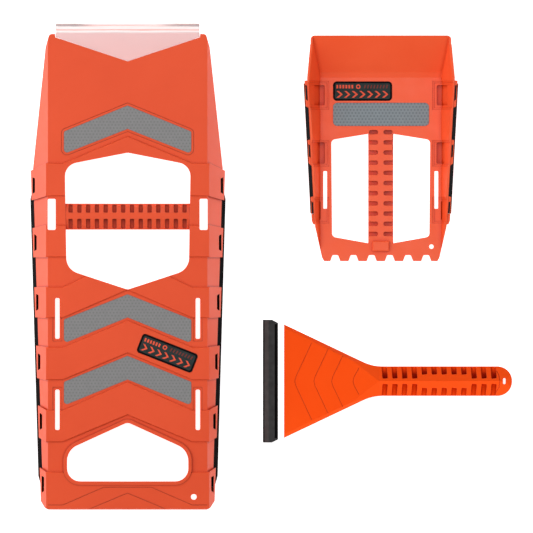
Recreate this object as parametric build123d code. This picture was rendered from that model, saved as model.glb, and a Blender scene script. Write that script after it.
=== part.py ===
"""A three-piece avalanche shovel set, laid flat: full-length shovel, compact shovel, scraper with squeegee.

Millimetres, +Z up, floor at Z = 0. The origin is the centre of the set's footprint.
Each tool is drawn in its own frame and then placed: u runs across the tool and v along it.
The full-length shovel lies on its rims, face up. The compact shovel lies tray up.
"""

import os
from math import atan, atan2, cos, degrees, hypot

from build123d import *

# ---- the set -------------------------------------------------------------------------------------
SET_HALF_WIDTH = 313.8
SET_HALF_LENGTH = 316.0
REACH = 60.0        # how far cutting tools run past the solid they cut

# ---- full-length shovel: driving dimensions --------------------------------------------------------
LENGTH = 2 * SET_HALF_LENGTH
FACE_Z = 48.2               # face between the raised bands
BAND_Z = 50.0               # top of the raised bands
CREASE = 103.7              # half width where the face turns down into the walls
BAND_CREASE = 106.0
FLARE = 0.58                # the walls spread this much for each millimetre down
WALL = 3.0
WALL_ACROSS = WALL / cos(atan(FLARE))
SHOULDER_V = 444.0          # the walls are deepest here
BLADE_CORNER_V = 601.0
TIP_V = 618.3               # top of the orange blade corners
NOTCH_HALF = 93.8           # V notch that holds the clear edge
NOTCH_SIDE_V = 613.8
NOTCH_APEX_V = 582.6
CLEAR_EDGE_PLAY = 0.15
CHEVRON_HALF = 84.0         # band edges are level outside this half width

# ---- edge strips of the full-length shovel
RIM_AT_SHOULDER = 123.6
RIM_SLOPE = 0.0315
REBATE = 3.0                # the strip sits this far in under the lip
STRIP_PROUD = (5.9, 4.9)    # beyond the lip, at the lower and the upper end
STRIP_ENDS = (14.0, 12.0)   # the strip narrows over these lengths at its lower and upper end
STRIP_TAPER = 3.5
STRIP_STEP_Z = 7.0
STRIP_TOP_Z = 13.0
STRIP_NARROW = (0.5, 1.5)
STRIP_RUN_V = (29.0, 416.0)
STRIP_TOP_END_V = 436.0     # its narrow upper part runs on inside the topmost boxes
BOX_PROUD = 3.1
PLAY = 0.15

# ---- raised bands: side and apex of the lower edge, side and apex of the upper edge, box on the wall
BANDS = (
    (407.5, 407.5, 450.5, 485.6, 402.0, 441.0),
    (328.0, 328.0, 370.0, 370.0, 328.0, 366.0),
    (249.0, 285.4, 289.5, 329.0, 250.0, 289.0),
    (168.4, 203.5, 211.3, 246.4, 171.0, 213.0),
    (87.8, 122.9, 129.4, 166.4, 94.0, 135.0),
    (0.0, 0.0, 49.0, 49.0, 12.0, 54.0),
)
BAND_SLOTS = (
    ((93.5, 363.5), (104.0, 404.0)),
    ((88.4, 222.0), (94.2, 275.0)),
    ((88.4, 103.5), (94.2, 156.0)),
)
SLOT_FRAME = 3.6            # shallow recess around the two long slots
BELT_WINDOW = (-2.0, 1.2, 22.0)
BAND_RISER = 1.2            # the risers of the bands slope over this width

# ---- reflectors: apex and side of the upper edge, apex and side of the lower edge
REFLECTOR_HALF = 82.7
REFLECTORS = {
    "reflector_upper": (525.2, 491.4, 494.9, 462.4),
    "reflector_middle": (279.8, 247.2, 249.9, 216.2),
    "reflector_lower": (199.8, 166.0, 169.2, 135.4),
}
INLAY_DEPTH = 0.5
INLAY_PROUD = 0.3

# ---- grip bar, hand hole, lanyard hole
BAR_V = (364.0, 397.8)
BAR_BOTTOM_Z = 30.0
BAR_POCKETS = 14
BAR_POCKET_PITCH = 11.4
BAR_POCKET_WIDTH = 5.6
HAND_RIM = 4.5
HAND_RIM_TOP_Z = 51.0
HAND_RIM_BOTTOM_Z = 33.0
LANYARD_AT = (86.0, 16.5)
LANYARD_R = 3.75
LANYARD_BOSS = 3.0
WINDOW_LIP_DEPTH = 14.0     # the window's edge is turned down this far
BADGE_SIZE = (76.7, 25.6)
BADGE_AT = (51.6, 203.3)
BADGE_TURN = -21.5

# ---- compact shovel: driving dimensions
COMPACT_CENTRE_X = 142.8
COMPACT_EDGE_Y = 7.0
COMPACT_LENGTH = 293.6
TRAY_UNDER_Z = 8.0
TRAY_Z = 11.0
TRAY_CREASE = 78.7
TRAY_FLARE = 0.44
TRAY_WALL = 2.9
TRAY_RIM_AT = (238.0, 96.1)
TRAY_RIM_SLOPE = 0.053
TRAY_SHOULDER_Z = 44.0
TRAY_RIM_RISE = 0.12
TRAY_END_Z = 34.6
TRAY_END_HALF = 91.6
TRAY_FOLD_V = 242.5
TRAY_FOLD_HALF = 3.4        # a narrow facet softens the fold
TRAY_END_THICKNESS = 3.3    # of the end wall, measured upright
TRAY_BOXES = (
    # lower and upper edge of the box, inner and outer side of its pocket, lower and upper end of its pocket
    (196.0, 236.0, 73.0, 92.7, 202.8, 229.5),
    (122.0, 158.7, 72.7, 89.4, 126.8, 154.7),
    (47.8, 84.5, 78.5, 86.0, 53.0, 78.6),
)
TRAY_BOX_INNER = 66.0
TRAY_BOX_STEPS = ((1.2, 0.8), (3.4, 1.6))    # inset and depth of the steps round each pocket
TRAY_POCKET_SINK = (2.0, 4.6)    # how far the pockets go into the wall beside and below the strip
TRAY_BOX_PROUD = 4.3
TRAY_STRIP = (0.1, 4.9)
TRAY_STRIP_DEPTH = 13.0
TRAY_STRIP_RUN_V = (62.0, 231.0)
TEETH = 7
TOOTH_PITCH = 23.7
TOOTH_DEPTH = 7.9
TOOTH_GAP = (6.8, 3.6)      # half widths of the gaps at their mouth and root
GRIP_BLOCK = ((0.0, 19.4), (22.0, 13.4))
GRIP_BLOCK_HEIGHT = 3.2
GRIP_HALF = 16.25
GRIP_POCKETS = 10
GRIP_POCKET_PITCH = 13.26
GRIP_FIRST_POCKET_V = 35.4
GRIP_POCKET_INNER = 3.6
GRIP_POCKET_WIDTH = 5.7
GRIP_POCKET_FLOOR_Z = 2.6
TRAY_LANYARD_AT = (66.0, 18.9)
TRAY_LANYARD_R = 3.0
TRAY_SLOT = ((72.4, 92.8), (4.9, 49.0))
TRAY_REFLECTOR = ((0.4, 191.2), (124.8, 30.0), 5.5)
TRAY_BADGE = ((-23.7, 221.5), (76.7, 25.0), 5.0)

# ---- scraper: driving dimensions
SCRAPER_AXIS_Y = -149.4
SCRAPER_LENGTH = 297.0
SCRAPER_BLADE_HALF = 74.0
SCRAPER_SIDE_SLOPE = 0.4757
SCRAPER_NECK = 124.0
NECK_RADIUS = 60.0
SCRAPER_HALF = 19.2
SCRAPER_TOP_Z = 15.5
SCRAPER_EDGE_Z = (2.0, 4.2)
BEVEL_WIDTH = 4.6
BEVEL_DROPS = ((-6.0, 1.87), (112.0, 4.5))    # station, and how far the long edges are bevelled down
HANDLE_SIDE_Z = 8.0
HANDLE_POCKETS = 12
HANDLE_POCKET_PITCH = 12.9
HANDLE_FIRST_POCKET = 131.0
HANDLE_POCKET_WIDTH = 6.8
HANDLE_POCKET_LEAN = 5.0
HANDLE_END_LINE = [(276.0, 15.0), (280.0, 8.0), (281.2, 0.0), (280.0, -8.0), (276.0, -15.0)]
HANG_HOLE_U = 287.0
GROOVE_DEPTH = 0.6
POCKET_FLOOR_Z = 4.2
LONG_POCKET_V = (3.5, 21.0)    # how far from the middle line the handle's pockets run
SHORT_POCKET_V = (8.7, 21.0)
SCRAPER_CHEVRONS = ((14.0, 50.0), (39.0, 43.0), (62.0, 33.0), (90.0, 17.0))     # apex, reach to each side
CHEVRON_WIDTH = 0.8
CHEVRON_SWEEP = 0.44        # how far back the arms run for each millimetre of reach
JAW_PLAY = (1.2, 1.35)      # room below and above the blade in the squeegee's slot
SQUEEGEE_GAP = 7.8
SQUEEGEE_WIDTH = 17.4
SQUEEGEE_HALF = 80.0
SQUEEGEE_SLOT_HALF = 74.4
SQUEEGEE_SLOT_DEPTH = 7.5
SQUEEGEE_HEIGHT = 9.0
LIP_PROUD = 2.4
JAW_SETBACK = 4.4           # the upper jaw is open from here
JAW_BORDER = 1.1            # to this far from the rail's face


# ---- drawing helpers -------------------------------------------------------------------------------
def mirrored(half):
    """A closed outline from its right-hand half, listed from the lower end to the upper end."""
    return list(half) + [(-u, v) for u, v in reversed(half) if u > 0]


def outline(points, radii=None):
    """A plan face. radii maps a corner (u >= 0) to the radius of that corner and of its mirror image."""
    face = Polygon(*points, align=None)
    for (u, v), radius in (radii or {}).items():
        corners = [c for c in face.vertices() if abs(abs(c.X) - u) < 0.01 and abs(c.Y - v) < 0.01]
        face = fillet(corners, radius)
    return face


def prism(face, low, high):
    """The solid over a plan face between two heights."""
    return extrude(Plane.XY.offset(low) * face, high - low, dir=(0, 0, 1))


def slab(u, v, z):
    """A block between two values of u, v and z."""
    size = (u[1] - u[0], v[1] - v[0], z[1] - z[0])
    return Pos(u[0], v[0], z[0]) * Box(*size, align=(Align.MIN, Align.MIN, Align.MIN))


def along_v(section, start, end):
    """The solid with a section in u and z between two stations along the tool."""
    plane = Plane((0, start, 0), x_dir=(1, 0, 0), z_dir=(0, -1, 0))
    return extrude(plane * Polygon(*section, align=None), end - start, dir=(0, 1, 0))


def along_u(profile, start, end):
    """The solid with a side profile in v and z between two stations across the tool."""
    plane = Plane((start, 0, 0), x_dir=(0, 1, 0), z_dir=(1, 0, 0))
    return extrude(plane * Polygon(*profile, align=None), end - start, dir=(1, 0, 0))


def stroke(points, width):
    """A plan face that follows a line of points with a constant width."""
    pieces = []
    for (u0, v0), (u1, v1) in zip(points, points[1:]):
        middle = Pos((u0 + u1) / 2, (v0 + v1) / 2)
        turn = degrees(atan2(v1 - v0, u1 - u0))
        pieces.append(middle * Rot(0, 0, turn) * SlotOverall(hypot(u1 - u0, v1 - v0) + width, width))
    return pieces[0] + pieces[1:] if len(pieces) > 1 else pieces[0]


def rounded_box(centre, size, radius):
    """A plan rectangle with rounded corners."""
    return Pos(*centre) * RectangleRounded(*size, radius)


def other_side(solid):
    """The same solid on the other side of the tool's centre line."""
    return mirror(solid, about=Plane.YZ)


def one_solid(shape):
    """The single solid that a chain of cuts and joins must have left."""
    solids = shape.solids()
    assert len(solids) == 1, f"{len(solids)} solids"
    return solids[0]


# ---- full-length shovel ------------------------------------------------------------------------------
def rim(v):
    """Half width of the lip above the edge strip."""
    return RIM_AT_SHOULDER - (SHOULDER_V - v) * RIM_SLOPE


def flared(half, top, bottom, v0, v1):
    """A bar along the shovel that is half wide at its top and spreads with the walls."""
    foot = half + FLARE * (top - bottom)
    return along_v([(-foot, bottom), (foot, bottom), (half, top), (-half, top)], v0, v1)


def rim_plan(offset, v0, v1):
    """Everything within the rim line moved out by offset, from v0 to v1."""
    return outline(mirrored([(rim(v0) + offset, v0), (rim(v1) + offset, v1)]))


def band_plan(band, inset=0.0):
    """Plan of a raised band with its two boxes on the walls."""
    low, low_apex, high, high_apex, box_low, box_high = band
    u_out = rim((box_low + box_high) / 2) + BOX_PROUD
    half = [
        (0, low_apex + inset),
        (CHEVRON_HALF, low + inset),
        (BAND_CREASE, low + inset),
        (u_out, box_low + inset),
        (u_out + REACH, box_low + inset),
        (u_out + REACH, box_high - inset),
        (u_out, box_high - inset),
        (BAND_CREASE, high - inset),
        (CHEVRON_HALF, high - inset),
        (0, high_apex - inset),
    ]
    return outline(mirrored(half))


def band_block(band):
    """The space of a raised band. Above the face its risers slope inwards."""
    foot = Plane.XY.offset(FACE_Z) * band_plan(band)
    top = Plane.XY.offset(BAND_Z) * band_plan(band, BAND_RISER)
    return prism(band_plan(band), 0, FACE_Z) + loft([foot, top], ruled=True)


def shovel_plan():
    """Plan of the whole moulding out to the lip, with the V notch in the blade."""
    half = [
        (103.0, 0.0),
        (108.6, 10.0),
        (rim(14.0), 14.0),
        (rim(SHOULDER_V), SHOULDER_V),
        (rim(SHOULDER_V) + 8.0, SHOULDER_V + 10.0),
        (CREASE + 10.0, BLADE_CORNER_V - 40.0),
        (CREASE + 3.0, BLADE_CORNER_V),
        (101.8, TIP_V),
        (NOTCH_HALF + 0.6, TIP_V),
        (NOTCH_HALF, NOTCH_SIDE_V),
        (0.0, NOTCH_APEX_V),
    ]
    return outline(mirrored(half), {(101.8, TIP_V): 4.5, (CREASE + 3.0, BLADE_CORNER_V): 12.0})


def window_plan():
    """Plan of the big window that the grip bar crosses."""
    half = [(0, 286.0), (79.6, 312.2), (81.8, 448.0), (0, 464.0)]
    radii = {half[0]: 8.0, half[1]: 21.0, half[2]: 18.0, half[3]: 10.0}
    return outline(mirrored(half), radii)


def hand_hole_plan():
    """Plan of the hand hole at the lower end."""
    half = [(78.8, 36.6), (78.8, 77.4), (0, 113.4)]
    radii = {half[0]: 17.0, half[1]: 22.0, half[2]: 9.0}
    return outline(mirrored(half), radii)


def blade_rim_profile():
    """Side profile of the space below the blade's rising rim."""
    start_z = FACE_Z - (RIM_AT_SHOULDER - CREASE) / FLARE
    end_z = FACE_Z - 3.0 / FLARE
    rise = (end_z - start_z) / (BLADE_CORNER_V - SHOULDER_V)
    far_v = LENGTH + REACH
    return [
        (SHOULDER_V, -REACH),
        (SHOULDER_V, start_z),
        (far_v, start_z + rise * (far_v - SHOULDER_V)),
        (far_v, -REACH),
    ]


def shovel_shell():
    """The face and the flared walls, hollow below, with the bands and the boxes."""
    lip_z = STRIP_TOP_Z + PLAY
    base = flared(CREASE, FACE_Z, 0, -1, LENGTH) & prism(shovel_plan(), 0, BAND_Z)
    under_lip = prism(rim_plan(REACH, -1, SHOULDER_V), -1, lip_z)
    under_lip -= prism(rim_plan(-REBATE - PLAY, -2, SHOULDER_V), -1, lip_z)
    base -= under_lip
    base -= along_u(blade_rim_profile(), -REACH * 4, REACH * 4)

    raised = flared(BAND_CREASE, BAND_Z, STRIP_STEP_Z + 2 * PLAY, 0, LENGTH)
    raised &= prism(rim_plan(BOX_PROUD, 0, LENGTH), 0, BAND_Z)
    bands = [raised & band_block(band) for band in BANDS]
    corner_trim = prism(outline([(95, -5), (140, -5), (140, 19), (103, 0)]), 0, BAND_Z)
    bands[-1] = bands[-1] - corner_trim - other_side(corner_trim)
    body = base + bands

    inner_half = CREASE - WALL_ACROSS + FLARE * WALL
    inner_top = FACE_Z - WALL
    hollow = flared(inner_half, inner_top, -1, WALL, LENGTH + REACH)
    hollow &= prism(outline(mirrored([
        (rim(0) - REBATE - WALL, 0),
        (rim(SHOULDER_V) - REBATE - WALL, SHOULDER_V),
        (rim(SHOULDER_V) + REACH, SHOULDER_V + 1),
        (rim(SHOULDER_V) + REACH, LENGTH + REACH),
    ])), -1, BAND_Z)
    end_opening = slab((-96, 96), (-1, WALL + 1), (-1, HAND_RIM_BOTTOM_Z))
    return body - hollow - end_opening


def strip(side_play=0.0):
    """The right-hand edge strip, fatter by side_play to cut the space it sits in."""
    inner = -REBATE - side_play
    v0, v1 = STRIP_RUN_V
    full = (v0 + STRIP_ENDS[0], v1 - STRIP_ENDS[1])
    wide_plan = outline([
        (rim(v0) + inner, v0 - side_play),
        (rim(v0) + STRIP_PROUD[0] + side_play - STRIP_TAPER, v0 - side_play),
        (rim(full[0]) + STRIP_PROUD[0] + side_play, full[0]),
        (rim(full[1]) + STRIP_PROUD[1] + side_play, full[1]),
        (rim(v1) + STRIP_PROUD[1] + side_play - STRIP_TAPER, v1 + side_play),
        (rim(v1) + inner, v1 + side_play),
    ])
    top_end = STRIP_TOP_END_V
    narrow_plan = outline([
        (rim(v0) + inner, v0 - side_play),
        (rim(v0) + STRIP_NARROW[0] + side_play, v0 - side_play),
        (rim(top_end) + STRIP_NARROW[1] + side_play, top_end + side_play),
        (rim(top_end) + inner, top_end + side_play),
    ])
    wide = prism(wide_plan, -side_play, STRIP_STEP_Z + side_play)
    return wide + prism(narrow_plan, STRIP_STEP_Z, STRIP_TOP_Z + side_play)


def belt_windows():
    """Slots in the right-hand boxes through which the strip shows."""
    inner, outer, length = BELT_WINDOW
    cuts = []
    for band in BANDS:
        middle = (band[4] + band[5]) / 2
        u = rim(middle)
        plan = outline([
            (u + inner, middle - length / 2 + 2.0),
            (u + outer, middle - length / 2),
            (u + outer, middle + length / 2),
            (u + inner, middle + length / 2 - 2.0),
        ])
        cuts.append(prism(plan, STRIP_TOP_Z - 1, BAND_Z))
    return cuts


def slot_plan(slot, grow=0.0):
    """Plan of one right-hand slot through the face."""
    (u0, v0), (u1, v1) = slot
    size = (u1 - u0 + 2 * grow, v1 - v0 + 2 * grow)
    return rounded_box(((u0 + u1) / 2, (v0 + v1) / 2), size, 2.0)


def grip_bar():
    """The ribbed bar across the big window."""
    low, high = BAR_V
    top = FACE_Z - 0.4
    profile = [
        (low + 3, BAR_BOTTOM_Z),
        (low, BAR_BOTTOM_Z + 5),
        (low, top - 6),
        (low + 5, top - 1.6),
        (low + 14, top),
        (high - 12, top),
        (high - 4, top - 1.6),
        (high, top - 6),
        (high, BAR_BOTTOM_Z + 5),
        (high - 3, BAR_BOTTOM_Z),
    ]
    bar = along_u(profile, -CHEVRON_HALF, CHEVRON_HALF)
    rows = ((low + 1.3, low + 14.0), (high - 11.8, high - 1.3))
    cuts = []
    for index in range(BAR_POCKETS):
        u = (index - (BAR_POCKETS - 1) / 2) * BAR_POCKET_PITCH
        for v0, v1 in rows:
            plan = rounded_box((u, (v0 + v1) / 2), (BAR_POCKET_WIDTH, v1 - v0), 1.2)
            cuts.append(prism(plan, top - 7.5, BAND_Z))
    return bar - cuts


def reflector_plan(name):
    """Plan of a reflective chevron."""
    top_apex, top_side, low_apex, low_side = REFLECTORS[name]
    half = [(0, low_apex), (REFLECTOR_HALF, low_side), (REFLECTOR_HALF, top_side), (0, top_apex)]
    return outline(mirrored(half), {half[1]: 4.0, half[2]: 3.0})


def badge_plan():
    """Plan of the badge on the full-length shovel."""
    return Pos(*BADGE_AT) * Rot(0, 0, BADGE_TURN) * RectangleRounded(*BADGE_SIZE, 4.0)


def shovel_grooves():
    """Shallow moulded lines in the top surfaces."""
    apex = reflector_plan("reflector_upper")
    ring = offset(apex, 3.8) - offset(apex, 2.7)
    lines = [prism(ring, FACE_Z - 0.6, BAND_Z)]
    end_lines = (
        [(103.0, 6.0), (84.0, 6.0), (31.0, 29.0), (-31.0, 29.0), (-84.0, 6.0), (-103.0, 6.0)],
        [(49.0, 1.0), (0.0, 21.5), (-49.0, 1.0)],
    )
    for points in end_lines:
        lines.append(prism(stroke(points, 1.1), BAND_Z - 0.6, BAND_Z + 1))
    return lines


def make_shovel():
    """The nodes of the full-length shovel in its own frame."""
    body = shovel_shell()
    window = window_plan()
    hand = hand_hole_plan()
    lanyard = Pos(*LANYARD_AT) * Circle(LANYARD_R)

    body += prism(offset(window, WALL), FACE_Z - WINDOW_LIP_DEPTH, FACE_Z - WALL / 2)
    body += prism(offset(hand, HAND_RIM), HAND_RIM_BOTTOM_Z, HAND_RIM_TOP_Z)
    body += prism(Pos(*LANYARD_AT) * Circle(LANYARD_R + LANYARD_BOSS), FACE_Z - WALL - LANYARD_BOSS, BAND_Z)
    body -= prism(window, 0, BAND_Z + 5)
    body -= prism(hand, 0, BAND_Z + 5)
    body -= prism(lanyard, 0, BAND_Z + 5)
    body += grip_bar()

    right = [prism(slot_plan(slot), 0, BAND_Z + 5) for slot in BAND_SLOTS]
    right += [prism(slot_plan(slot, SLOT_FRAME), FACE_Z - 0.8, FACE_Z + 0.4) for slot in BAND_SLOTS[1:]]
    right += belt_windows()
    right.append(strip(PLAY))
    body -= right + [other_side(cut) for cut in right]

    nodes = {}
    plates = [("shovel_badge", badge_plan())]
    plates += [(name, reflector_plan(name)) for name in REFLECTORS]
    badge_seat = prism(offset(badge_plan(), 0.4), FACE_Z - INLAY_DEPTH, BAND_Z + 5)
    seats = [badge_seat]
    badge_hole = prism(offset(badge_plan(), 0.6), 0, BAND_Z + 5)
    for name, plan in plates:
        top = FACE_Z + INLAY_PROUD
        if name == "shovel_badge":
            top = BAND_Z + INLAY_PROUD
        plate = prism(plan, FACE_Z - INLAY_DEPTH, top)
        if name != "shovel_badge":
            plate -= badge_hole
            seats.append(prism(offset(plan, 0.1), FACE_Z - INLAY_DEPTH, FACE_Z + 0.1))
        nodes[name] = plate
    body -= seats
    body -= shovel_grooves()

    edge, tongue_seat = clear_edge()
    body -= tongue_seat
    nodes["shovel_body"] = body
    nodes["clear_edge"] = edge
    nodes["shovel_strip_right"] = strip()
    nodes["shovel_strip_left"] = other_side(strip())
    return nodes


def clear_edge():
    """The clear cutting edge with its tongue, and the seat that the tongue slides into."""
    low = FACE_Z - WALL + 0.2
    high = FACE_Z - 0.2
    profile = [
        (NOTCH_APEX_V - REACH, low),
        (LENGTH - 14, low),
        (LENGTH - 9, low - 1.0),
        (LENGTH - 2, low - 0.6),
        (LENGTH, low + 0.8),
        (LENGTH, high - 0.4),
        (LENGTH - 2, high + 1.0),
        (LENGTH - 9, high + 1.2),
        (LENGTH - 14, high),
        (NOTCH_APEX_V - REACH, high),
    ]
    gap = CLEAR_EDGE_PLAY
    plate_half = [
        (NOTCH_HALF - gap, NOTCH_SIDE_V + gap),
        (NOTCH_HALF - gap, LENGTH),
    ]
    plan = outline([(0, NOTCH_APEX_V + gap)] + mirrored(plate_half), {plate_half[1]: 2.0})
    plate = along_u(profile, -NOTCH_HALF, NOTCH_HALF) & prism(plan, 0, BAND_Z + 5)

    reach = 8.0
    tongue_half = [(NOTCH_HALF - 6, NOTCH_SIDE_V - 2 - reach), (NOTCH_HALF - 6, NOTCH_SIDE_V + 4)]
    tongue_plan = outline([(0, NOTCH_APEX_V - reach)] + mirrored(tongue_half))
    middle = (low + high) / 2
    tongue = prism(tongue_plan, middle - 0.6, middle + 0.6)
    seat = prism(offset(tongue_plan, 0.2), middle - 0.7, middle + 0.7)
    return plate + tongue, seat


# ---- compact shovel ------------------------------------------------------------------------------------
def tray_rim(v):
    """Half width of the tray across the outside of its walls."""
    return TRAY_RIM_AT[1] - (TRAY_RIM_AT[0] - v) * TRAY_RIM_SLOPE


def tray_rim_z(v):
    """Height of the top of the side walls."""
    return TRAY_SHOULDER_Z - (TRAY_RIM_AT[0] - v) * TRAY_RIM_RISE


def tray_bar(half, low, high, v0, v1):
    """A bar along the tray whose sides spread upwards with the walls. half is measured at TRAY_Z."""
    foot = half + TRAY_FLARE * (low - TRAY_Z)
    head = half + TRAY_FLARE * (high - TRAY_Z)
    return along_v([(-foot, low), (foot, low), (head, high), (-head, high)], v0, v1)


def tray_slope(v):
    """Height of the sloping end wall."""
    rise = (TRAY_END_Z - TRAY_Z) / (COMPACT_LENGTH - TRAY_FOLD_V)
    return TRAY_Z + (v - TRAY_FOLD_V) * rise


def tray_side_profile():
    """Side view of the tray between its underside and the top of its walls."""
    return [
        (0.0, TRAY_UNDER_Z),
        (TRAY_FOLD_V, TRAY_UNDER_Z),
        (COMPACT_LENGTH, tray_slope(COMPACT_LENGTH) - TRAY_END_THICKNESS),
        (COMPACT_LENGTH, TRAY_END_Z),
        (COMPACT_LENGTH - 11, TRAY_END_Z),
        (TRAY_RIM_AT[0], TRAY_SHOULDER_Z),
        (54.0, tray_rim_z(54.0)),
        (5.0, TRAY_Z + 1.0),
        (0.0, TRAY_Z),
    ]


def tray_shell():
    """The plate, the side walls and the sloping end wall."""
    outer = tray_bar(TRAY_CREASE + TRAY_WALL, 0, 70, 0, COMPACT_LENGTH)
    outer &= along_u(tray_side_profile(), -REACH * 2, REACH * 2)
    plan_half = [(74.0, 0.0), (76.6, 5.0), (87.6, 54.0), (110.0, 66.0), (110.0, 240.0)]
    plan_half += [(TRAY_END_HALF, COMPACT_LENGTH - 11), (TRAY_END_HALF, COMPACT_LENGTH)]
    plan = outline(mirrored(plan_half), {(TRAY_END_HALF, COMPACT_LENGTH): 5.5, (74.0, 0.0): 2.0})
    return outer & prism(plan, 0, 70)


def tray_hollow():
    """The space inside the tray."""
    profile = [
        (-REACH, TRAY_Z),
        (TRAY_FOLD_V - TRAY_FOLD_HALF, TRAY_Z),
        (TRAY_FOLD_V + TRAY_FOLD_HALF, tray_slope(TRAY_FOLD_V + TRAY_FOLD_HALF)),
        (COMPACT_LENGTH + REACH, tray_slope(COMPACT_LENGTH + REACH)),
        (COMPACT_LENGTH + REACH, 90.0),
        (-REACH, 90.0),
    ]
    inside = tray_bar(TRAY_CREASE, TRAY_Z, 90, -REACH, COMPACT_LENGTH + REACH)
    return inside & along_u(profile, -REACH * 2, REACH * 2)


def tray_box(box):
    """One right-hand box: a hollow boss on the outside of the wall that is also a foot."""
    low, high = box[0], box[1]
    pushed = tray_bar(TRAY_CREASE + TRAY_WALL + 4.0, 0, 60, low, high)
    top = along_u([
        (low, 0),
        (high, 0),
        (high, tray_rim_z(high) - 0.8),
        (low, tray_rim_z(low) - 0.8),
    ], 0, REACH * 2)
    plan = outline([
        (TRAY_BOX_INNER, low),
        (88.0, low),
        (tray_rim(low) + TRAY_BOX_PROUD, low + 5.5),
        (tray_rim(high) + TRAY_BOX_PROUD, high - 1.5),
        (88.0, high),
        (TRAY_BOX_INNER, high),
    ])
    return pushed & top & prism(plan, 0, 60)


def tray_pocket(box):
    """The recess inside a right-hand box: two shallow steps and a deep pocket."""
    low, high, u0, u1, v0, v1 = box
    steps = []
    for inset, depth in TRAY_BOX_STEPS:
        step = tray_bar(TRAY_CREASE + depth, TRAY_Z - depth, 90, low + inset, high - inset)
        steps.append(step & slab((TRAY_BOX_INNER + inset, REACH * 2), (low, high), (0, 90)))
    under_strip = tray_rim_z(low) - TRAY_STRIP_DEPTH - 1.5
    pocket = tray_bar(TRAY_CREASE + TRAY_POCKET_SINK[0], 2.4, 90, v0, v1)
    pocket += tray_bar(TRAY_CREASE + TRAY_POCKET_SINK[1], 2.4, under_strip, v0, v1)
    pocket &= prism(rounded_box(((u0 + u1) / 2, (v0 + v1) / 2), (u1 - u0, v1 - v0), 2.2), 0, 90)
    return steps[0] + steps[1] + pocket


def tray_strip(play=0.0):
    """The right-hand edge strip of the compact shovel."""
    v0, v1 = TRAY_STRIP_RUN_V
    v0 -= play
    v1 += play
    inner, outer = TRAY_STRIP
    profile = [
        (v0, tray_rim_z(v0) - TRAY_STRIP_DEPTH - play),
        (v1, tray_rim_z(v1) - TRAY_STRIP_DEPTH - play),
        (v1, tray_rim_z(v1) - 1.2 + play),
        (v0, tray_rim_z(v0) - 1.2 + play),
    ]
    plan = outline([
        (tray_rim(v0) - 9, v0),
        (tray_rim(v0) + outer + play, v0),
        (tray_rim(v1) + outer + play, v1),
        (tray_rim(v1) - 9, v1),
    ])
    solid = along_u(profile, 0, REACH * 2) & prism(plan, 0, 70)
    return solid - tray_bar(TRAY_CREASE + TRAY_WALL + inner - play, 0, 70, 0, COMPACT_LENGTH)


def tray_belt_windows():
    """Slots down through the tops of the right-hand boxes, over the strip."""
    cuts = []
    for box in TRAY_BOXES:
        v0, v1 = box[0] + 12.5, box[1] - 6.5
        plan = outline([
            (tray_rim(v0) + 0.6, v0),
            (tray_rim(v0) + 3.0, v0 + 1.5),
            (tray_rim(v1) + 3.0, v1),
            (tray_rim(v1) + 0.6, v1 - 1.5),
        ])
        cuts.append(prism(plan, tray_rim_z(v0) - 3, 70))
    return cuts


def tray_window_plan():
    """Plan of the window to the right of the grip."""
    points = [(GRIP_HALF - 1, 23.2), (63.4, 31.8), (64.4, 158.0), (GRIP_HALF - 1, 166.0)]
    return outline(points, {points[1]: 5.5, points[2]: 5.5})


def tray_grip():
    """The ribbed grip between the two windows."""
    profile = [
        (10.0, TRAY_UNDER_Z + 1),
        (24.0, 0.0),
        (173.0, 0.0),
        (184.0, TRAY_UNDER_Z + 0.5),
        (171.0, TRAY_UNDER_Z + 0.5),
        (169.5, TRAY_UNDER_Z - 1.6),
        (158.0, TRAY_UNDER_Z - 1.6),
        (104.0, TRAY_Z - 1.4),
        (60.0, TRAY_Z),
        (10.0, TRAY_Z),
    ]
    bar = along_u(profile, -GRIP_HALF, GRIP_HALF)
    bar &= along_v([
        (-GRIP_HALF + 2, 0),
        (GRIP_HALF - 2, 0),
        (GRIP_HALF, 2.0),
        (GRIP_HALF, TRAY_UNDER_Z - 1.5),
        (GRIP_HALF - 3.0, TRAY_Z),
        (-GRIP_HALF + 3.0, TRAY_Z),
        (-GRIP_HALF, TRAY_UNDER_Z - 1.5),
        (-GRIP_HALF, 2.0),
    ], 0, COMPACT_LENGTH)
    cuts = []
    for index in range(GRIP_POCKETS + 1):
        v = GRIP_FIRST_POCKET_V + index * GRIP_POCKET_PITCH
        outer = GRIP_HALF - 1.0 if index == GRIP_POCKETS else GRIP_HALF + 3.35
        for side in (-1, 1):
            middle = side * (GRIP_POCKET_INNER + outer) / 2
            plan = rounded_box((middle, v), (outer - GRIP_POCKET_INNER, GRIP_POCKET_WIDTH), 2.4)
            cuts.append(prism(plan, GRIP_POCKET_FLOOR_Z, TRAY_Z + 1))
    return bar, cuts


def tray_teeth_gaps():
    """The gaps between the teeth."""
    gaps = []
    for index in range(TEETH - 1):
        u = (index - (TEETH - 2) / 2) * TOOTH_PITCH
        mouth, root_half = TOOTH_GAP
        gap = [(u - mouth, -1.0), (u + mouth, -1.0)]
        gap += [(u + root_half, TOOTH_DEPTH), (u - root_half, TOOTH_DEPTH)]
        face = Polygon(*gap, align=None)
        root = [c for c in face.vertices() if c.Y > 0]
        gaps.append(prism(fillet(root, 2.0), 0, TRAY_Z + 5))
    return gaps


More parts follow.
